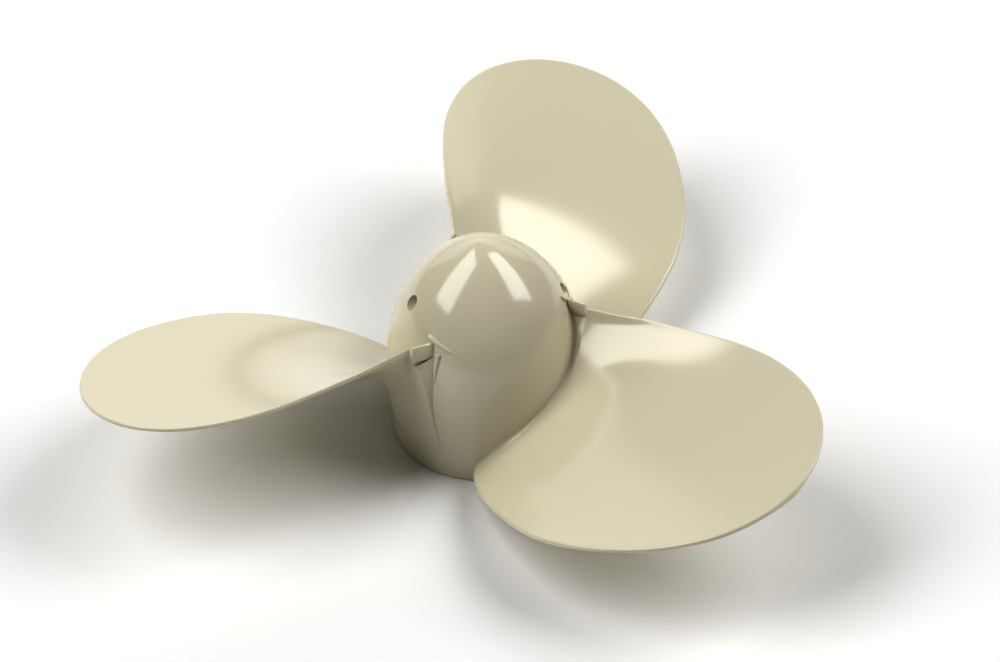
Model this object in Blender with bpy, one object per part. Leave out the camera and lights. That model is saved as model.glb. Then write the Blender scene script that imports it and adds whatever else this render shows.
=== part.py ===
"""Three-bladed boat propeller, cast in one piece: an egg-nosed hub and three blades.

Units are metres. The shaft's axis is Z, and the origin is the centre of the
hub's flat front face. The nose points up, which is towards the stern in use.
Each blade is a helicoid of constant pitch, raked towards the nose. Seen from
the nose the propeller drives ahead when it turns clockwise. A blade's own
frame has its radius along X and its trailing edge on the +Y side.
"""
import math

import bmesh
import bpy
import numpy as np

# Hub
HUB_RADIUS = 0.0237
HUB_LENGTH = 0.0540
SHOULDER_HEIGHT = 0.0226
NOSE_FULLNESS = 1.55
NOSE_ROUNDNESS = 1.60
FACE_EDGE_ROUND = 0.0005

# Shaft bore and the hole for the drive pin
SHAFT_BORE_RADIUS = 0.00625
SHAFT_BORE_DEPTH = 0.0440
PIN_HOLE_RADIUS = 0.00215
PIN_HOLE_HEIGHT = 0.0372

# Blade surface: pitch, rake, the tip's sag from a straight rake, and the dip beside the trailing root
BLADE_COUNT = 3
FIRST_BLADE_AZIMUTH = math.radians(-38.4)
TIP_DIAMETER = 0.1905
PITCH = 0.1313
RAKE = 0.160
RAKE_SAG = 0.0017
FACE_HEIGHT = 0.0278
ROOT_DIP = 0.0033
ROOT_DIP_REACH = 0.0079
ROOT_DIP_FROM = math.radians(-43.0)
ROOT_DIP_TO = math.radians(12.0)

# Blade thickness
EDGE_THICKNESS = 0.0011
ROOT_THICKNESS = 0.0046
TIP_THICKNESS = 0.0020
REAR_FILLET = 0.0028
FRONT_FILLET = 0.0050
FILLET_LEAST = 0.0004

# Blade outline in plan, about its own centre: mean radius, then cosine and sine shares of each order
BLADE_CENTRE = (0.0521, -0.0132)
BLADE_MEAN_RADIUS = 0.0356
BLADE_SHARES = {2: (0.0070, 0.0002), 3: (-0.0009, 0.0014), 4: (0.0007, -0.0004), 5: (-0.0002, 0.0002)}

# Square corner where the trailing edge runs onto the nose, and the web under it
CORNER_RADIUS = 0.0243
CORNER_OFFSET = 0.0101
LAND_WIDTH = 0.0013
LAND_RISE = 0.0026
LIP_RISE = 0.0010
LIP_END_RADIUS = 0.0375
WEB_FOOT_HEIGHT = 0.0060
WEB_FOOT_RADIUS = 0.0235
WEB_FOOT_OFFSET = 0.0146

# Where the solid starts inside the hub, and small clearances
STUB_RADIUS = 0.0145
FILLET_SINK = 0.00015
FACE_CLEARANCE = 0.0018
WEB_CLEARANCE = 0.0003

# Fineness
HUB_SEGMENTS = 72
NOSE_RINGS = 13
BORE_SEGMENTS = 24
PIN_SEGMENTS = 16
OUTLINE_SAMPLES = 720
CHORD_STEPS = 22
STUB_STATIONS = 7
FILLET_STATIONS = 5
SPAN_STATIONS = 12
HALVINGS = 24

CREAM = (0.72, 0.66, 0.50, 1.0)


def clear_scene():
    """Remove every object of the start-up scene."""
    for item in list(bpy.data.objects):
        bpy.data.objects.remove(item, do_unlink=True)


def enamel():
    """Glossy cream paint over the cast metal."""
    material = bpy.data.materials.new("cream_enamel")
    material.use_nodes = True
    shader = material.node_tree.nodes["Principled BSDF"]
    shader.inputs["Base Color"].default_value = CREAM
    shader.inputs["Roughness"].default_value = 0.28
    shader.inputs["Metallic"].default_value = 0.0
    return material


def add_object(name, bm, material=None, cutter=False):
    """Turn a bmesh into a named object, smooth where it is round."""
    bmesh.ops.recalc_face_normals(bm, faces=bm.faces)
    mesh = bpy.data.meshes.new(name)
    bm.to_mesh(mesh)
    bm.free()
    mesh.shade_smooth()
    mesh.set_sharp_from_angle(angle=math.radians(35))
    item = bpy.data.objects.new(name, mesh)
    bpy.context.scene.collection.objects.link(item)
    if material is not None:
        mesh.materials.append(material)
    if cutter:
        item.hide_render = True
        item.display_type = "WIRE"
    return item


def add_face(bm, corners):
    """Add a face, leaving out corners that repeat."""
    kept = list(dict.fromkeys(corners))
    if len(kept) > 2:
        bm.faces.new(kept)


def smooth_step(value):
    """Rise from 0 to 1 with level ends as the value goes from 0 to 1."""
    held = np.clip(value, 0.0, 1.0)
    return held * held * (3.0 - 2.0 * held)


def nose_radius(height):
    """Hub radius at a height: straight up to the shoulder, then an egg-shaped nose."""
    climb = np.clip((height - SHOULDER_HEIGHT) / (HUB_LENGTH - SHOULDER_HEIGHT), 0.0, 1.0)
    return HUB_RADIUS * (1.0 - climb ** NOSE_FULLNESS) ** (1.0 / NOSE_ROUNDNESS)


def hub_profile():
    """Radius and height pairs from the front face's edge up to just under the tip."""
    turn = np.linspace(0.0, math.pi / 2, NOSE_RINGS + 1)[1:-1]
    heights = SHOULDER_HEIGHT + (HUB_LENGTH - SHOULDER_HEIGHT) * np.sin(turn)
    rows = [(HUB_RADIUS - FACE_EDGE_ROUND, 0.0), (HUB_RADIUS, FACE_EDGE_ROUND)]
    rows += [(HUB_RADIUS, SHOULDER_HEIGHT * 0.5), (HUB_RADIUS, SHOULDER_HEIGHT)]
    rows += [(float(nose_radius(height)), float(height)) for height in heights]
    return rows


def turned_body(name, rows, segments, top=None, **settings):
    """Turn radius and height pairs about Z, with a flat foot and a point or flat at the top."""
    bm = bmesh.new()
    angles = np.arange(segments) * 2 * math.pi / segments
    rings = []
    for radius, height in rows:
        rings.append([bm.verts.new((radius * math.cos(a), radius * math.sin(a), height)) for a in angles])
    for low, high in zip(rings, rings[1:]):
        for i in range(segments):
            j = (i + 1) % segments
            bm.faces.new((low[i], low[j], high[j], high[i]))
    bm.faces.new(list(reversed(rings[0])))
    if top is None:
        bm.faces.new(rings[-1])
    else:
        tip = bm.verts.new((0.0, 0.0, top))
        for i in range(segments):
            bm.faces.new((rings[-1][i], rings[-1][(i + 1) % segments], tip))
    return add_object(name, bm, **settings)


def outline_radius(angle):
    """Distance from the blade's centre to its edge, in plan, at an angle about that centre."""
    radius = BLADE_MEAN_RADIUS + 0.0 * angle
    for order, (cosine, sine) in BLADE_SHARES.items():
        radius = radius + cosine * np.cos(order * angle) + sine * np.sin(order * angle)
    return radius


def outline_edges():
    """The outline split at the tip: radius and azimuth along the trailing and the leading edge."""
    angle = np.linspace(-math.pi, math.pi, OUTLINE_SAMPLES + 1)
    x = BLADE_CENTRE[0] + outline_radius(angle) * np.cos(angle)
    y = BLADE_CENTRE[1] + outline_radius(angle) * np.sin(angle)
    radius, azimuth = np.hypot(x, y), np.arctan2(y, x)
    tip = int(radius.argmax())
    radius = radius * (TIP_DIAMETER / 2 / radius[tip])
    trailing_root = tip + int(radius[tip:].argmin())
    leading_root = int(radius[:tip].argmin())
    trailing = (radius[tip:trailing_root + 1][::-1], azimuth[tip:trailing_root + 1][::-1])
    leading = (radius[leading_root:tip + 1], azimuth[leading_root:tip + 1])
    return trailing, leading


def edge_azimuths(radius, trailing, leading):
    """Azimuth of the leading and the trailing edge; inside the corner both run straight on."""
    first = np.interp(max(radius, CORNER_RADIUS), *leading)
    if radius > CORNER_RADIUS:
        corner = math.asin(CORNER_OFFSET / CORNER_RADIUS) - np.interp(CORNER_RADIUS, *trailing)
        blend = 1.0 - smooth_step((radius - CORNER_RADIUS) / (LIP_END_RADIUS - CORNER_RADIUS))
        return first, np.interp(radius, *trailing) + corner * blend
    return first, math.asin(min(CORNER_OFFSET / radius, 1.0))


def face_height(radius, azimuth):
    """Height of the rear face: a raked helicoid, with a dip beside the trailing root."""
    out = radius - HUB_RADIUS
    span = TIP_DIAMETER / 2 - HUB_RADIUS
    near = np.exp(-np.maximum(out, 0.0) / ROOT_DIP_REACH)
    dip = ROOT_DIP * near * smooth_step((azimuth - ROOT_DIP_FROM) / (ROOT_DIP_TO - ROOT_DIP_FROM))
    return FACE_HEIGHT + PITCH * azimuth / (2 * math.pi) + RAKE * out - RAKE_SAG * (out / span) ** 2 - dip


def land_height(radius, distance):
    """Rise of the square land inside the corner, and of the lip that it runs out in along the edge."""
    if radius <= CORNER_RADIUS:
        rise = LAND_RISE
    else:
        rise = LIP_RISE * (1.0 - smooth_step((radius - CORNER_RADIUS) / (LIP_END_RADIUS - CORNER_RADIUS)))
    return rise * (1.0 - smooth_step(distance / LAND_WIDTH - 0.5))


def fillet_rise(gap, size):
    """Rise of a quarter-round fillet at a gap from the wall: its full size at the wall, nothing past it."""
    reach = size - np.clip(gap, 0.0, size)
    return size - np.sqrt(np.maximum(size ** 2 - reach ** 2, 0.0))


def filleted_height(radius, face, direction, size, wall_radius):
    """Height of a blade face with its fillet up (1) or down (-1) the hub, found by halving."""
    near, far = np.zeros_like(face), size + np.zeros_like(face)
    for _ in range(HALVINGS):
        middle = (near + far) / 2
        wall = np.maximum(nose_radius(face + direction * middle), wall_radius) - FILLET_SINK
        above = middle < fillet_rise(radius - wall, size)
        near, far = np.where(above, middle, near), np.where(above, far, middle)
    return face + direction * (near + far) / 2


def stations():
    """Radii of the blade's sections: a stub in the hub, close ones in the fillet, then out to the tip."""
    stub = STUB_RADIUS + (CORNER_RADIUS - STUB_RADIUS) * np.linspace(0.0, 1.0, STUB_STATIONS) ** 0.7
    close = CORNER_RADIUS + FRONT_FILLET * (np.arange(1, FILLET_STATIONS + 1) / FILLET_STATIONS) ** 1.6
    turn = np.linspace(0.0, math.pi / 2, SPAN_STATIONS + 1)[1:]
    start = CORNER_RADIUS + FRONT_FILLET
    return np.concatenate([stub, close, start + (TIP_DIAMETER / 2 - start) * np.sin(turn)])


def section(radius, trailing, leading):
    """One section on a cylinder about the shaft: azimuths, rear heights and front heights."""
    share = 0.5 - 0.5 * np.cos(np.linspace(0.0, math.pi, CHORD_STEPS + 1))
    first, last = edge_azimuths(radius, trailing, leading)
    azimuth = first + share * (last - first)
    face = face_height(radius, azimuth)
    span = np.clip((radius - HUB_RADIUS) / (TIP_DIAMETER / 2 - HUB_RADIUS), 0.0, 1.0)
    thick = ROOT_THICKNESS + (TIP_THICKNESS - ROOT_THICKNESS) * math.sqrt(span)
    bulge = np.sqrt(np.maximum(1.0 - (2 * share - 1) ** 4, 0.0))
    under = face - EDGE_THICKNESS - (thick - EDGE_THICKNESS) * bulge
    distance = radius * (last - azimuth)
    size = FILLET_LEAST + (REAR_FILLET - FILLET_LEAST) * (1.0 - share ** 6) * (1.0 - (1.0 - share) ** 6)
    rear = filleted_height(radius, face, 1, size, 0.0)
    rear = np.maximum(rear, face + land_height(radius, distance))
    room = np.clip(under - FACE_CLEARANCE, FILLET_LEAST, FRONT_FILLET)
    front = filleted_height(radius, under, -1, room, CORNER_RADIUS)
    return azimuth, rear, front


def web_foot(radius, azimuth, front):
    """Foot of the web below the blade's root: radius, azimuth and height."""
    height = np.minimum(front - WEB_CLEARANCE, WEB_FOOT_HEIGHT)
    foot_radius = min(radius, WEB_FOOT_RADIUS)
    end = math.asin(WEB_FOOT_OFFSET / foot_radius) if WEB_FOOT_OFFSET < foot_radius else math.pi / 2
    share = (azimuth - azimuth[0]) / (azimuth[-1] - azimuth[0])
    return foot_radius, azimuth[0] + share * (end - azimuth[0]), height


def blade(name, turn):
    """One blade: sections from a stub in the hub to the tip, with a web below the root."""
    trailing, leading = outline_edges()
    radii = stations()
    bm = bmesh.new()

    def row(radius, azimuth, height, single=False):
        x, y = radius * np.cos(azimuth + turn), radius * np.sin(azimuth + turn)
        if single:
            middle = len(azimuth) // 2
            return [bm.verts.new((x[middle], y[middle], height[middle]))] * len(azimuth)
        return [bm.verts.new(place) for place in zip(x, y, height)]

    rear_rows, front_rows = [], []
    for radius in radii:
        azimuth, rear, front = section(radius, trailing, leading)
        at_tip = radius == radii[-1]
        if radius <= CORNER_RADIUS:
            rear_rows.append(row(radius, azimuth, rear))
            front_rows.append(row(*web_foot(radius, azimuth, front)))
        if radius >= CORNER_RADIUS:
            rear_rows.append(row(radius, azimuth, rear, at_tip))
            front_rows.append(row(radius, azimuth, front, at_tip))
    for rows in (rear_rows, front_rows):
        for low, high in zip(rows, rows[1:]):
            for i in range(CHORD_STEPS):
                add_face(bm, (low[i], low[i + 1], high[i + 1], high[i]))
    for k in range(len(rear_rows) - 1):
        for i in (0, CHORD_STEPS):
            add_face(bm, (rear_rows[k][i], rear_rows[k + 1][i], front_rows[k + 1][i], front_rows[k][i]))
    for i in range(CHORD_STEPS):
        add_face(bm, (rear_rows[0][i], rear_rows[0][i + 1], front_rows[0][i + 1], front_rows[0][i]))
    bmesh.ops.remove_doubles(bm, verts=bm.verts, dist=0.00001)
    bmesh.ops.triangulate(bm, faces=bm.faces)
    return add_object(name, bm, cutter=True)


def boolean(target, tool, operation):
    """Exact union with, or cut by, another body."""
    modifier = target.modifiers.new(operation.lower() + "_" + tool.name, "BOOLEAN")
    modifier.operation = operation
    modifier.solver = "EXACT"
    modifier.object = tool


def pin_hole_cutter():
    """Cross hole for the drive pin, along X through the nose."""
    rows = [(PIN_HOLE_RADIUS, -HUB_RADIUS * 1.3), (PIN_HOLE_RADIUS, HUB_RADIUS * 1.3)]
    cutter = turned_body("pin_hole_cutter", rows, PIN_SEGMENTS, cutter=True)
    cutter.rotation_euler = (0.0, math.pi / 2, 0.0)
    cutter.location = (0.0, 0.0, PIN_HOLE_HEIGHT)
    return cutter


def shaft_bore_cutter():
    """Blind bore for the shaft, from the front face up past the cross hole."""
    rows = [(SHAFT_BORE_RADIUS, -HUB_RADIUS), (SHAFT_BORE_RADIUS, SHAFT_BORE_DEPTH)]
    return turned_body("shaft_bore_cutter", rows, BORE_SEGMENTS, cutter=True)


def propeller():
    """The whole casting."""
    casting = turned_body("propeller_casting", hub_profile(), HUB_SEGMENTS, top=HUB_LENGTH, material=enamel())
    for index in range(BLADE_COUNT):
        azimuth = FIRST_BLADE_AZIMUTH + index * 2 * math.pi / BLADE_COUNT
        boolean(casting, blade("blade_" + str(index + 1), azimuth), "UNION")
    boolean(casting, shaft_bore_cutter(), "DIFFERENCE")
    boolean(casting, pin_hole_cutter(), "DIFFERENCE")
    return casting


clear_scene()
propeller()
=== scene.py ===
"""Looks of a small three-bladed boat propeller, cast in bronze and enamelled cream.

Metres throughout. The shaft's axis is Z and the hub stands on its flat front
face at height zero, nose up. A blade's own frame has its radius along X and
its trailing edge on the +Y side, and each blade is that shape turned about Z.
"""
import math

import bpy
import numpy as np
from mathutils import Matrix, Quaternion, Vector


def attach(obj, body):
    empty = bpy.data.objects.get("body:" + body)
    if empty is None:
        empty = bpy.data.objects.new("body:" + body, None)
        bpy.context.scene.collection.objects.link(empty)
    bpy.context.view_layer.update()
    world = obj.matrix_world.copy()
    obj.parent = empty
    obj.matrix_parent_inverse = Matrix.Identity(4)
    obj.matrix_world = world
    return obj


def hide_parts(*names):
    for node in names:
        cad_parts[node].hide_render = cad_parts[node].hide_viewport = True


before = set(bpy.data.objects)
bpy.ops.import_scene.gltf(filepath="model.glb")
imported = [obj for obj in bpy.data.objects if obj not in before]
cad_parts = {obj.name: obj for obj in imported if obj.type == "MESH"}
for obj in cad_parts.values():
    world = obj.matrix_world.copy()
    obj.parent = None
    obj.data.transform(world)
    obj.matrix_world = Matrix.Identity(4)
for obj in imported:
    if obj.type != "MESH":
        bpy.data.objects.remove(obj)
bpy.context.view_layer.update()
CASTING_NODE = "propeller_casting"
BODY = "root"

# Hub
HUB_RADIUS = 0.0237
HUB_LENGTH = 0.0531
SHOULDER_HEIGHT = 0.0150
NOSE_FULLNESS = 2.4
NOSE_ROUNDNESS = 1.41
FACE_EDGE_ROUND = 0.0006

# Shaft bore, and the drive pin's cross hole by the centres of its two mouths
SHAFT_BORE_RADIUS = 0.00625
SHAFT_BORE_DEPTH = 0.0440
PIN_HOLE_RADIUS = 0.00175
PIN_HOLE_RIGHT = (0.0191, 0.0002, 0.0367)
PIN_HOLE_LEFT = (-0.0161, -0.0045, 0.0402)

# Blade surface
BLADE_COUNT = 3
FIRST_BLADE_AZIMUTH = math.radians(-38.4)
TIP_DIAMETER = 0.1905
PITCH = 0.1313
RAKE = 0.160
RAKE_SAG = 0.0017
FACE_HEIGHT = 0.0278
ROOT_DIP = 0.0040
ROOT_DIP_FROM = math.radians(-45.0)
ROOT_DIP_TO = math.radians(15.0)
ROOT_DIP_REACH = 0.0160

# Blade thickness, the rounding of its rim and the small fillets at its root
EDGE_THICKNESS = 0.0011
ROOT_EDGE_EXTRA = 0.0003
ROOT_EDGE_REACH = 0.0200
ROOT_THICKNESS = 0.0046
TIP_THICKNESS = 0.0020
RIM_ROUND = 0.00045
REAR_FILLET = 0.0009
LEADING_FILLET = 0.0022
LEADING_FILLET_FROM = math.radians(-25.0)
LEADING_FILLET_TO = math.radians(-50.0)
FRONT_FILLET = 0.0050
FRONT_FILLET_FADE = 0.0030
FILLET_LEAST = 0.0002
FILLET_SINK = 0.00004
FACE_CLEARANCE = 0.0018

# Blade outline in plan
BLADE_CENTRE = (0.0521, -0.0132)
BLADE_MEAN_RADIUS = 0.0356
BLADE_SHARES = {2: (0.0070, 0.0002), 3: (-0.0009, 0.0014), 4: (0.0007, -0.0004), 5: (-0.0002, 0.0002)}
OUTLINE_SAMPLES = 1440

EDGE_HOLLOW = 0.0011
EDGE_HOLLOW_RADIUS = 0.0315
EDGE_HOLLOW_REACH = 0.0085

# Square corner at the trailing root, and the curled lip along the edge from there
CORNER_RADIUS = 0.0244
CORNER_OFFSET = 0.0101
LIP_RISE = 0.00110
LIP_FADE_FROM = 0.0260
LIP_FADE_TO = 0.0620
LIP_WIDTH = 0.0140
LIP_POWER = 1.5
CREST_WIDTH = 0.0016
CREST_SHARE = 0.2
UNDER_SHARE = 0.93
STEP = 0.00012

# Web under each blade's root, with its end face leaning out towards the foot
WEB_FOOT_HEIGHT = 0.0060
WEB_HEAD_HEIGHT = 0.0370
WEB_FOOT_RADIUS = 0.0236
WEB_FOOT_OFFSET = 0.0147
WEB_LEAN = 0.0030
WEB_CURL = 0.0023
WEB_CURL_POWER = 10
WEB_SKEW = 0.16
WEB_CORNER_ROUND = 0.0008
WEB_END_LENGTH = 0.0075
WEB_INNER_RADIUS = 0.0150
WEB_SINK = 0.0012

# Square tab that stands on the web's end
TAB_OUTER_RADIUS = 0.02435
TAB_INNER_X = 0.0150
TAB_OFFSET = 0.0098
TAB_SLANT = 0.0004
TAB_CREST = 0.0373
TAB_FALL = 0.0012
TAB_HALF_WIDTH = 0.00046
TAB_HALF_HEIGHT = 0.0020
TAB_SPREAD = 0.0011
TAB_SPREAD_LEAST = 0.35
TAB_SQUARENESS = 2.6

# Beads of flash on the hub, each by the height and offset of its ends: one down the crease beside the
# web's end, and one that runs on from the tab round the nose
CREASE_BEAD = ((0.0346, 0.0116), (0.0272, 0.0129))
CREASE_BEAD_RADIUS = 0.00065
NOSE_BEAD = ((0.0376, 0.0080), (0.0355, 0.0147))
NOSE_BEAD_RADIUS = 0.00075
BEAD_POINTEDNESS = 0.97

# Fineness of the surfaces
HUB_SEGMENTS = 216
NOSE_ROWS = 90
WALL_ROWS = 14
BORE_SEGMENTS = 64
PIN_SEGMENTS = 40
CHORD_STEPS = 88
STUB_RADIUS = 0.0145
FINE_FROM = 0.0190
FINE_STEP = 0.00028
SPAN_ROWS = 62
WEB_LEVELS = 24
BEAD_ROWS = 18
BEAD_POINTS = 16
TAB_STATIONS = 12
TAB_POINTS = 32
HALVINGS = 24

# Camera, from a fit to the photograph
CAMERA_PLACE = Vector((0.0, -0.60857, 0.54807))
CAMERA_AIM = Vector((0.00359, 0.03007, 0.0))
CAMERA_ROLL = math.radians(4.0)
CAMERA_LENS = 123.4
SENSOR_WIDTH = 36.0
CONTRAST_GAMMA = 0.625


def smooth_step(value):
    """Rise from 0 to 1 with level ends as the value goes from 0 to 1: 3v squared less 2v cubed."""
    held = np.clip(value, 0.0, 1.0)
    return held * held * (3.0 - 2.0 * held)


def nose_radius(height):
    """Hub radius at a height: R(1 - c^fullness)^(1/roundness), with c the share of the nose climbed."""
    climb = np.clip((height - SHOULDER_HEIGHT) / (HUB_LENGTH - SHOULDER_HEIGHT), 0.0, 1.0)
    return HUB_RADIUS * (1.0 - climb ** NOSE_FULLNESS) ** (1.0 / NOSE_ROUNDNESS)


def outline_radius(angle):
    """Distance from the blade's centre to its edge: the mean radius plus a few harmonics of the angle."""
    radius = BLADE_MEAN_RADIUS + 0.0 * angle
    for order, (cosine, sine) in BLADE_SHARES.items():
        radius = radius + cosine * np.cos(order * angle) + sine * np.sin(order * angle)
    return radius


def outline_slope(angle):
    """Change of the outline's radius with the angle, the derivative of those harmonics."""
    slope = 0.0 * angle
    for order, (cosine, sine) in BLADE_SHARES.items():
        slope = slope + order * (sine * np.cos(order * angle) - cosine * np.sin(order * angle))
    return slope


def outline_edges():
    """The outline split at the tip: radius and azimuth along the trailing and along the leading edge."""
    angle = np.linspace(-math.pi, math.pi, OUTLINE_SAMPLES + 1)
    x = BLADE_CENTRE[0] + outline_radius(angle) * np.cos(angle)
    y = BLADE_CENTRE[1] + outline_radius(angle) * np.sin(angle)
    radius, azimuth = np.hypot(x, y), np.arctan2(y, x)
    tip = int(radius.argmax())
    scale = TIP_DIAMETER / 2 / radius[tip]
    radius = radius * scale
    trailing_root = tip + int(radius[tip:].argmin())
    leading_root = int(radius[:tip].argmin())
    trailing = (radius[tip:trailing_root + 1][::-1], azimuth[tip:trailing_root + 1][::-1])
    leading = (radius[leading_root:tip + 1], azimuth[leading_root:tip + 1])
    return trailing, leading, scale


def plain_height(radius, azimuth):
    """A helicoid of constant pitch, plus the rake, less a sag that grows as the square of the span."""
    out = radius - HUB_RADIUS
    span = TIP_DIAMETER / 2 - HUB_RADIUS
    return FACE_HEIGHT + PITCH * azimuth / (2 * math.pi) + RAKE * out - RAKE_SAG * (out / span) ** 2


def face_height(radius, azimuth):
    """Rear face: the plain helicoid less the dish beside the hub. The dish is a bell curve of the distance
    from the hub, and deepens from the leading side on."""
    plain = plain_height(radius, azimuth)
    deep = ROOT_DIP * smooth_step((azimuth - ROOT_DIP_FROM) / (ROOT_DIP_TO - ROOT_DIP_FROM))
    gap = np.maximum(radius - nose_radius(plain - deep), 0.0)
    return plain - deep * np.exp(-(gap / ROOT_DIP_REACH) ** 2)


def rim_rounding(distance):
    """Drop of a face near the rim: e - sqrt(e^2 - (e - d)^2), a quarter-round of radius e."""
    reach = RIM_ROUND - np.clip(distance, 0.0, RIM_ROUND)
    return RIM_ROUND - np.sqrt(np.maximum(RIM_ROUND ** 2 - reach ** 2, 0.0))


def fillet_rise(gap, size):
    """Rise of a quarter-round fillet at a gap from the wall: its full size at the wall, nothing past it."""
    reach = size - np.clip(gap, 0.0, size)
    return size - np.sqrt(np.maximum(size ** 2 - reach ** 2, 0.0))


def filleted_height(radius, face, direction, size, wall_radius):
    """A blade face with its fillet up (1) or down (-1) the hub. The rise is where the fillet's curve meets
    the hub's own radius at the raised height, found by halving, so it runs out along the hub."""
    near, far = np.zeros_like(face), size + np.zeros_like(face)
    for _ in range(HALVINGS):
        middle = (near + far) / 2
        wall = np.maximum(nose_radius(face + direction * middle), wall_radius) - FILLET_SINK
        above = middle < fillet_rise(radius - wall, size)
        near, far = np.where(above, middle, near), np.where(above, far, middle)
    return face + direction * (near + far) / 2


def surface(name, verts, faces):
    """A mesh object from an array of points and a list of faces, shaded smooth and facing out."""
    mesh = bpy.data.meshes.new(name)
    mesh.from_pydata(verts, [], faces)
    mesh.validate()
    mesh.shade_smooth()
    item = bpy.data.objects.new(name, mesh)
    bpy.context.scene.collection.objects.link(item)
    return item


def strip_cap(loop):
    """A closed loop of point numbers covered by a strip of quads between its first half and its second."""
    half = len(loop) // 2
    near, far = loop[:half], loop[half:][::-1]
    return np.stack([near[:-1], near[1:], far[1:], far[:-1]], -1).tolist()


def ring_grid(rings, top=True):
    """Points and faces of stacked closed rings, an array of rows by points by 3, with both ends covered."""
    rows, count = rings.shape[:2]
    index = np.arange(rows * count).reshape(rows, count)
    low, high = index[:-1], index[1:]
    quads = np.stack([low, np.roll(low, -1, 1), np.roll(high, -1, 1), high], -1).reshape(-1, 4)
    faces = quads.tolist() + strip_cap(index[0][::-1])
    if top:
        faces += strip_cap(index[-1])
    return rings.reshape(-1, 3), faces


def turned(radius, height, segments):
    """Rings of a profile turned about Z."""
    angle = np.arange(segments) * 2 * math.pi / segments
    x = radius[:, None] * np.cos(angle)
    y = radius[:, None] * np.sin(angle)
    return np.stack([x, y, height[:, None] + 0.0 * angle], -1)


def hub():
    """The hub: the nose's egg profile over a straight wall with a small round at its foot, turned about Z."""
    turn = np.linspace(0.0, math.pi / 2, 7)
    foot_radius = HUB_RADIUS - FACE_EDGE_ROUND * (1 - np.sin(turn))
    foot_height = FACE_EDGE_ROUND * (1 - np.cos(turn))
    wall = np.linspace(FACE_EDGE_ROUND, SHOULDER_HEIGHT, WALL_ROWS + 1)[1:]
    climb = np.sin(np.linspace(0.0, math.pi / 2, NOSE_ROWS + 1)[1:-1])
    nose = SHOULDER_HEIGHT + (HUB_LENGTH - SHOULDER_HEIGHT) * climb
    height = np.concatenate([foot_height, wall, nose])
    radius = np.concatenate([foot_radius, HUB_RADIUS + 0.0 * wall, nose_radius(nose)])
    points, faces = ring_grid(turned(radius, height, HUB_SEGMENTS), top=False)
    top = len(points)
    last = np.arange(top - HUB_SEGMENTS, top)
    faces += np.stack([last, np.roll(last, -1), np.full(HUB_SEGMENTS, top)], -1).tolist()
    points = np.vstack([points, [[0.0, 0.0, HUB_LENGTH]]])
    return surface("hub", points, faces)


def blade_radii():
    """Radii of the blade's rows: coarse deep in the hub, fine through the fillets and the corner, then out to
    the tip at the sine of equal steps, so that they crowd towards it."""
    deep = np.linspace(STUB_RADIUS, FINE_FROM, 5)[:-1]
    fine = np.arange(FINE_FROM, CORNER_RADIUS - FINE_STEP / 2, FINE_STEP)
    after = CORNER_RADIUS + STEP + FINE_STEP * np.arange(0, 9)
    turn = np.linspace(0.0, math.pi / 2, SPAN_ROWS + 1)[1:]
    outer = after[-1] + (TIP_DIAMETER / 2 - after[-1]) * np.sin(turn)
    return np.concatenate([deep, fine, [CORNER_RADIUS], after, outer])


def blade_edges(radius, trailing, leading):
    """Azimuths of both edges at each radius. The trailing one is the outline less a shallow bell-shaped
    hollow near the root, and inside the corner it keeps one offset from X."""
    first = np.interp(np.maximum(radius, CORNER_RADIUS), *leading)
    hollow = EDGE_HOLLOW * np.exp(-((radius - EDGE_HOLLOW_RADIUS) / EDGE_HOLLOW_REACH) ** 2)
    offset = radius * np.sin(np.interp(radius, *trailing)) - hollow
    offset = np.where(radius > CORNER_RADIUS, offset, CORNER_OFFSET)
    return first, np.arcsin(np.clip(offset / radius, -1.0, 1.0))


def rim_distance(radius, azimuth, first, last, scale):
    """Distance in plan to the blade's rim: across the chord near the root, and from the outline's own radius
    about the blade's centre further out, each times the cosine of the edge's slant."""
    chord = radius * np.minimum(azimuth - first, last - azimuth)
    x = radius * np.cos(azimuth) / scale - BLADE_CENTRE[0]
    y = radius * np.sin(azimuth) / scale - BLADE_CENTRE[1]
    angle = np.arctan2(y, x)
    edge, slope = outline_radius(angle), outline_slope(angle)
    around = (edge - np.hypot(x, y)) * edge / np.hypot(edge, slope)
    return np.maximum(np.where(radius < LIP_FADE_TO, chord, around), 0.0)


def lip_rise(radius, azimuth, distance):
    """Rise of the lip along the trailing edge, from the dished face up to a crest that stands above the plain
    helicoid. Most of it is a broad curl, the power of what is left of the lip's width, and the rest is a
    narrow crest with a smooth inner side. The crest fades towards the tip."""
    fade = 1.0 - smooth_step((radius - LIP_FADE_FROM) / (LIP_FADE_TO - LIP_FADE_FROM))
    lift = plain_height(radius, azimuth) + LIP_RISE * fade - face_height(radius, azimuth)
    broad = np.clip(1.0 - distance / LIP_WIDTH, 0.0, 1.0) ** LIP_POWER
    narrow = 1.0 - smooth_step(distance / CREST_WIDTH)
    share = (1.0 - CREST_SHARE) * broad + CREST_SHARE * narrow
    return np.where(radius > CORNER_RADIUS, lift * share, 0.0)


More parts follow.
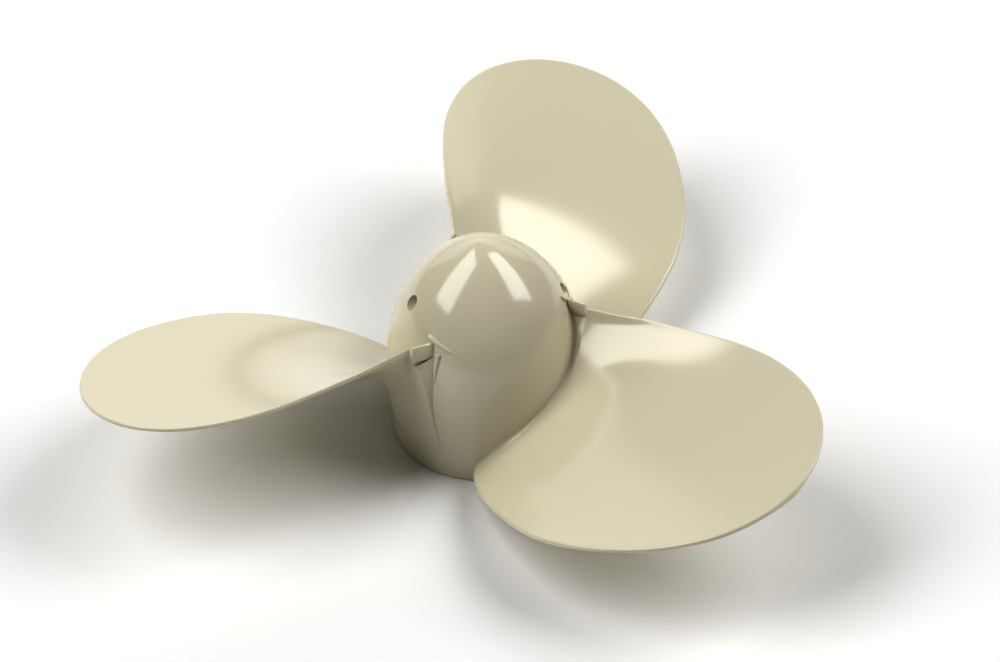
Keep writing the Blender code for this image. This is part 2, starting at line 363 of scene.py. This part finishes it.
def blade(name, turn):
    """One blade as closed loops round the shaft: along the front face from leading to trailing edge, and back
    along the rear face. Heights are the helicoid, less the thickness, with rim, fillets and lip."""
    trailing, leading, scale = outline_edges()
    radius = blade_radii()[:, None]
    share = 0.5 - 0.5 * np.cos(np.linspace(0.0, math.pi, CHORD_STEPS + 1))[None, :]
    first, last = blade_edges(radius, trailing, leading)
    azimuth = first + share * (last - first)
    distance = radius * (last - azimuth)
    face = face_height(radius, azimuth)
    span = np.clip((radius - HUB_RADIUS) / (TIP_DIAMETER / 2 - HUB_RADIUS), 0.0, 1.0)
    middle = ROOT_THICKNESS + (TIP_THICKNESS - ROOT_THICKNESS) * np.sqrt(span)
    edge = EDGE_THICKNESS + ROOT_EDGE_EXTRA * np.exp(-np.maximum(radius - CORNER_RADIUS, 0.0) / ROOT_EDGE_REACH)
    bulge = 1.0 - np.abs(2 * share - 1) ** 2.5
    lip = lip_rise(radius, azimuth, distance)
    under = face + UNDER_SHARE * lip - edge - np.maximum(middle - edge, 0.0) * bulge
    round_off = rim_rounding(rim_distance(radius, azimuth, first, last, scale))
    ahead = smooth_step((azimuth - LEADING_FILLET_FROM) / (LEADING_FILLET_TO - LEADING_FILLET_FROM))
    size = REAR_FILLET + (LEADING_FILLET - REAR_FILLET) * ahead
    size = FILLET_LEAST + (size - FILLET_LEAST) * (1.0 - share ** 12) * (1.0 - (1.0 - share) ** 12)
    rear = filleted_height(radius, face, 1, size, 0.0)
    rear = rear + lip - round_off
    room = np.clip(under - FACE_CLEARANCE, FILLET_LEAST, FRONT_FILLET)
    room = FILLET_LEAST + (room - FILLET_LEAST) * smooth_step(distance / FRONT_FILLET_FADE)
    front = filleted_height(radius, under, -1, room, CORNER_RADIUS) + round_off
    loop_azimuth = np.concatenate([azimuth, azimuth[:, ::-1]], 1) + turn
    loop_height = np.concatenate([front, rear[:, ::-1]], 1)
    x = radius * np.cos(loop_azimuth)
    y = radius * np.sin(loop_azimuth)
    rings = np.stack([x, y, loop_height], -1)
    points, faces = ring_grid(rings)
    item = surface(name, points, faces)
    return item


def web(name, turn):
    """The web under a blade's root: plan loops stacked from its foot up into the blade. Each loop runs along
    the outer arc, round the corner, inwards along the slightly skewed end face and back inside the hub. The
    end face's offset is the foot's, less a straight lean, less a tenth-power curl at the head."""
    _, leading, _ = outline_edges()
    level = np.linspace(0.0, 1.0, WEB_LEVELS)[:, None]
    arc, bend, end = 60, 8, 16
    start = np.interp(CORNER_RADIUS, *leading) + math.radians(1.5)
    top_height = TAB_CREST - TAB_HALF_HEIGHT
    climb = level * (top_height - WEB_FOOT_HEIGHT) / (WEB_HEAD_HEIGHT - WEB_FOOT_HEIGHT)
    outer = WEB_FOOT_RADIUS + (CORNER_RADIUS - WEB_FOOT_RADIUS) * np.sqrt(level)
    offset = WEB_FOOT_OFFSET - WEB_LEAN * climb - WEB_CURL * climb ** WEB_CURL_POWER
    stop = np.arcsin((offset - WEB_CORNER_ROUND) / (outer - WEB_CORNER_ROUND))
    run = np.linspace(0.0, 1.0, arc)[None, :]
    arc_azimuth = start + run * (stop - start)
    arc_x, arc_y = outer * np.cos(arc_azimuth), outer * np.sin(arc_azimuth)
    hinge_x = (outer - WEB_CORNER_ROUND) * np.cos(stop)
    hinge_y = (outer - WEB_CORNER_ROUND) * np.sin(stop)
    swing = stop + (math.pi / 2 - stop) * np.linspace(0.0, 1.0, bend + 1)[None, 1:]
    bend_x = hinge_x + WEB_CORNER_ROUND * np.cos(swing)
    bend_y = hinge_y + WEB_CORNER_ROUND * np.sin(swing)
    inner_x = hinge_x - WEB_END_LENGTH
    line = np.linspace(0.0, 1.0, end + 1)[None, 1:]
    end_x = hinge_x + (inner_x - hinge_x) * line
    end_y = bend_y[:, -1:] + WEB_SKEW * WEB_END_LENGTH * line
    inner_azimuth = np.arctan2(end_y[:, -1:], inner_x)
    inner_radius = np.hypot(end_y[:, -1:], inner_x)
    ret = np.linspace(0.0, 1.0, arc + bend + end + 1)[None, 1:]
    back_azimuth = inner_azimuth + ret * (start - inner_azimuth)
    back_radius = inner_radius + ret * (WEB_INNER_RADIUS - inner_radius)
    back_x, back_y = back_radius * np.cos(back_azimuth), back_radius * np.sin(back_azimuth)
    x = np.concatenate([arc_x, bend_x, end_x, back_x], 1)
    y = np.concatenate([arc_y, bend_y, end_y, back_y], 1)
    radius, azimuth = np.hypot(x[-1], y[-1]), np.arctan2(y[-1], x[-1])
    top = np.minimum(face_height(radius, azimuth) - WEB_SINK, top_height)
    foot = np.minimum(WEB_FOOT_HEIGHT, top - WEB_SINK)
    height = foot + level * (top - foot)
    turned_x = x * math.cos(turn) - y * math.sin(turn)
    turned_y = x * math.sin(turn) + y * math.cos(turn)
    points, faces = ring_grid(np.stack([turned_x, turned_y, height], -1))
    return surface(name, points, faces)


def tab(name, turn):
    """The tab that stands on the web's end: upright squared ellipses along a straight line from the corner
    into the hub. Their outer side spreads towards the foot in proportion to the depth below the crest."""
    along = np.linspace(0.0, 1.0, TAB_STATIONS)[::-1, None]
    crest = TAB_CREST - TAB_FALL * along ** 2
    offset = TAB_OFFSET - TAB_SLANT * along
    outer = math.sqrt(TAB_OUTER_RADIUS ** 2 - TAB_OFFSET ** 2)
    x = outer + (TAB_INNER_X - outer) * along
    angle = np.arange(TAB_POINTS) * 2 * math.pi / TAB_POINTS
    cosine, sine = np.cos(angle), np.sin(angle)
    across = TAB_HALF_WIDTH * np.sign(cosine) * np.abs(cosine) ** (2.0 / TAB_SQUARENESS)
    up = TAB_HALF_HEIGHT * np.sign(sine) * np.abs(sine) ** (2.0 / TAB_SQUARENESS)
    depth = (TAB_HALF_HEIGHT - up) / (2.0 * TAB_HALF_HEIGHT)
    spread = TAB_SPREAD * (TAB_SPREAD_LEAST + (1.0 - TAB_SPREAD_LEAST) * along)
    y = offset + across + spread * depth * (cosine > 0.0)
    z = crest - TAB_HALF_HEIGHT + up
    turned_x = x * math.cos(turn) - y * math.sin(turn)
    turned_y = x * math.sin(turn) + y * math.cos(turn)
    points, faces = ring_grid(np.stack([turned_x, turned_y, z], -1))
    return surface(name, points, faces)


def bead(name, turn, start, end, size):
    """A bead on the hub between two places given by height and offset: circles square to the path, whose
    radius falls from its full size to a point as the cosine of a quarter turn."""
    along = np.linspace(0.0, 1.0, BEAD_ROWS)
    height = start[0] + (end[0] - start[0]) * along
    offset = start[1] + (end[1] - start[1]) * along
    x = np.sqrt(nose_radius(height) ** 2 - offset ** 2)
    path = np.stack([x * math.cos(turn) - offset * math.sin(turn),
                     x * math.sin(turn) + offset * math.cos(turn), height], -1)
    ahead = np.gradient(path, axis=0)
    ahead = ahead / np.linalg.norm(ahead, axis=1, keepdims=True)
    side = np.cross(ahead, path * (1.0, 1.0, 0.0))
    side = side / np.linalg.norm(side, axis=1, keepdims=True)
    out = np.cross(side, ahead)
    angle = np.arange(BEAD_POINTS)[None, :, None] * 2 * math.pi / BEAD_POINTS
    radius = (size * np.cos(0.5 * math.pi * BEAD_POINTEDNESS * along))[:, None, None]
    rings = path[:, None] + radius * (np.cos(angle) * out[:, None] + np.sin(angle) * side[:, None])
    points, faces = ring_grid(rings)
    return surface(name, points, faces)


def bar(name, start, end, radius, segments):
    """A round bar between two points, for cutting a hole."""
    start, end = Vector(start), Vector(end)
    angle = np.arange(segments) * 2 * math.pi / segments
    axis = (end - start).normalized()
    side = axis.orthogonal().normalized()
    other = axis.cross(side)
    circle = np.outer(np.cos(angle), side) + np.outer(np.sin(angle), other)
    rings = np.stack([np.array(start) + radius * circle, np.array(end) + radius * circle])
    points, faces = ring_grid(rings)
    return surface(name, points, faces)


def boolean(target, tool, operation):
    """Exact union with, or cut by, another closed mesh, applied at once."""
    modifier = target.modifiers.new(operation.lower(), "BOOLEAN")
    modifier.operation = operation
    modifier.solver = "EXACT"
    modifier.object = tool
    graph = bpy.context.evaluated_depsgraph_get()
    made = bpy.data.meshes.new_from_object(target.evaluated_get(graph))
    target.modifiers.clear()
    target.data = made
    bpy.data.objects.remove(tool, do_unlink=True)


def casting():
    """The whole casting: hub, webs and blades made one, then bored and cross-drilled."""
    item = hub()
    for index in range(BLADE_COUNT):
        turn = FIRST_BLADE_AZIMUTH + index * 2 * math.pi / BLADE_COUNT
        boolean(item, web("web", turn), "UNION")
        boolean(item, tab("tab", turn), "UNION")
        boolean(item, bead("crease_bead", turn, *CREASE_BEAD, CREASE_BEAD_RADIUS), "UNION")
        boolean(item, bead("nose_bead", turn, *NOSE_BEAD, NOSE_BEAD_RADIUS), "UNION")
        boolean(item, blade("blade", turn), "UNION")
    below, above = (0.0, 0.0, -HUB_RADIUS), (0.0, 0.0, SHAFT_BORE_DEPTH)
    boolean(item, bar("bore", below, above, SHAFT_BORE_RADIUS, BORE_SEGMENTS), "DIFFERENCE")
    right, left = Vector(PIN_HOLE_RIGHT), Vector(PIN_HOLE_LEFT)
    reach = (right - left) * 0.3
    boolean(item, bar("pin_hole", left - reach, right + reach, PIN_HOLE_RADIUS, PIN_SEGMENTS), "DIFFERENCE")
    item.data.shade_smooth()
    item.data.set_sharp_from_angle(angle=math.radians(40))
    return item


def enamel():
    """Glossy cream enamel."""
    material = bpy.data.materials.new("cream_enamel")
    material.use_nodes = True
    shader = material.node_tree.nodes["Principled BSDF"]
    shader.inputs["Base Color"].default_value = (0.74, 0.70, 0.56, 1.0)
    shader.inputs["Roughness"].default_value = 0.14
    shader.inputs["IOR"].default_value = 1.62
    return material


def add_light(name, azimuth, elevation, roll, distance, width, height, radiance, aim):
    """A soft box facing the propeller."""
    data = bpy.data.lights.new(name, "AREA")
    data.shape = "RECTANGLE"
    data.size = width
    data.size_y = height
    data.energy = radiance * math.pi * width * height
    item = bpy.data.objects.new(name, data)
    bpy.context.scene.collection.objects.link(item)
    a, e = math.radians(azimuth), math.radians(elevation)
    back = Vector((math.cos(a) * math.cos(e), math.sin(a) * math.cos(e), math.sin(e)))
    item.location = Vector(aim) + back * distance
    item.rotation_mode = "QUATERNION"
    item.rotation_quaternion = Quaternion(back, math.radians(roll)) @ (-back).to_track_quat("-Z", "Y")
    return item


def studio():
    """White table, a soft box on either side, a dim card high at the back and a dark room."""
    half = 3.0
    points = np.array([[-half, -half, 0.0], [half, -half, 0.0], [half, half, 0.0], [-half, half, 0.0]])
    floor = surface("table", points, [[0, 1, 2, 3]])
    material = bpy.data.materials.new("white_table")
    material.use_nodes = True
    shader = material.node_tree.nodes["Principled BSDF"]
    shader.inputs["Base Color"].default_value = (0.93, 0.93, 0.93, 1.0)
    shader.inputs["Roughness"].default_value = 0.6
    floor.data.materials.append(material)
    aim = (0.0, 0.0, 0.03)
    add_light("left_box", -175.0, 53.0, 17.0, 1.2, 0.70, 1.14, 4.8, aim)
    add_light("right_box", 2.0, 46.0, 42.0, 1.2, 0.9, 0.60, 5.5, aim)
    add_light("back_card", 90.0, 24.0, 0.0, 1.7, 3.2, 1.4, 0.9, aim)
    world = bpy.data.worlds.new("room")
    bpy.context.scene.world = world
    world.use_nodes = True
    background = world.node_tree.nodes["Background"]
    background.inputs["Color"].default_value = (1.0, 1.0, 1.0, 1.0)
    background.inputs["Strength"].default_value = 0.04
    bpy.context.scene.view_settings.view_transform = "Standard"
    bpy.context.scene.view_settings.gamma = CONTRAST_GAMMA


def camera():
    """The photograph's camera."""
    data = bpy.data.cameras.new("camera")
    data.lens = CAMERA_LENS
    data.sensor_width = SENSOR_WIDTH
    item = bpy.data.objects.new("camera", data)
    bpy.context.scene.collection.objects.link(item)
    item.location = CAMERA_PLACE
    ahead = (CAMERA_AIM - CAMERA_PLACE).normalized()
    level = ahead.to_track_quat("-Z", "Y")
    item.rotation_mode = "QUATERNION"
    item.rotation_quaternion = Quaternion(ahead, CAMERA_ROLL) @ level
    bpy.context.scene.camera = item


camera()
studio()
painted = casting()
painted.name = "enamelled_casting"
painted.data.materials.clear()
painted.data.materials.append(enamel())
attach(painted, BODY)
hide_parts(CASTING_NODE)
